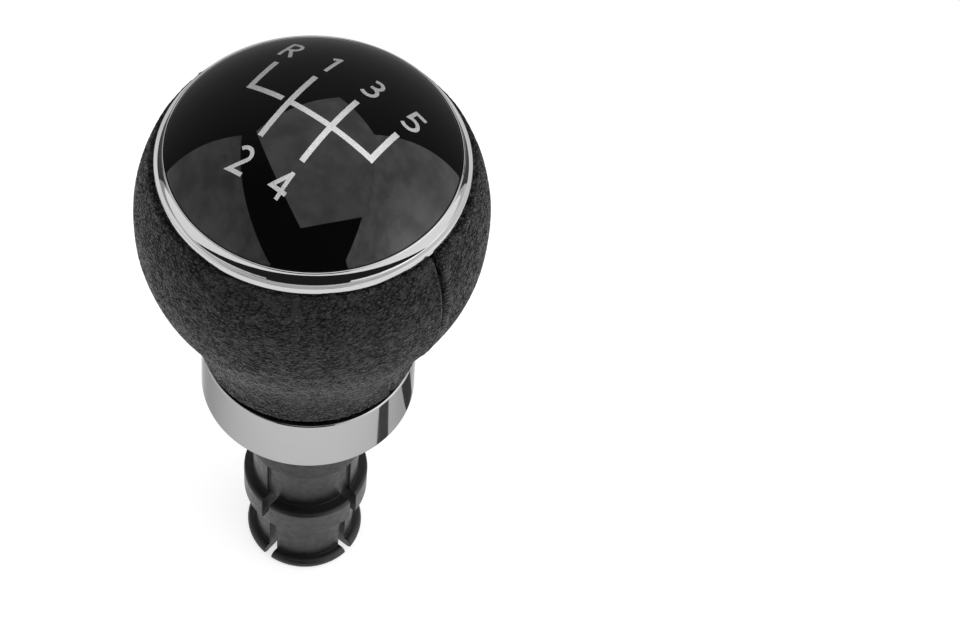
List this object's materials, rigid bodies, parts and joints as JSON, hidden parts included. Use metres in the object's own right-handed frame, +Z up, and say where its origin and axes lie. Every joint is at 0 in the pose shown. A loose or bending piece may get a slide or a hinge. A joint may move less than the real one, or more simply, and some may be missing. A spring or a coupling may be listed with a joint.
{
  "type": "gear shift knob",
  "caption": "Gear shift knob with a round leather grip, a glossy domed shift-pattern cap, chrome trim and a split collet for the lever.",
  "frame": {"origin": "centre of the collet's foot, at the mouth of the lever's bore", "axes": "+Z up along the lever's bore, +Y towards the top of the shift pattern, the front of the car; +X to the right"},
  "size_m": [0.0522, 0.0522, 0.1137],
  "materials": {
    "cap": "high gloss",
    "trim_chrome": "polished",
    "carrier": "as moulded",
    "leather": "fine grain",
    "core": "as moulded",
    "weight": "turned",
    "collar_chrome": "polished",
    "stem": "satin",
    "collet": "satin"
  },
  "bodies": {
    "root": {"pattern_cap": "cap", "top_ring": "trim_chrome", "cap_carrier": "carrier", "leather_front": "leather", "leather_rear": "leather", "core": "core", "weight": "weight", "lower_collar": "collar_chrome", "stem": "stem", "collet": "collet"}
  },
  "joints": []
}
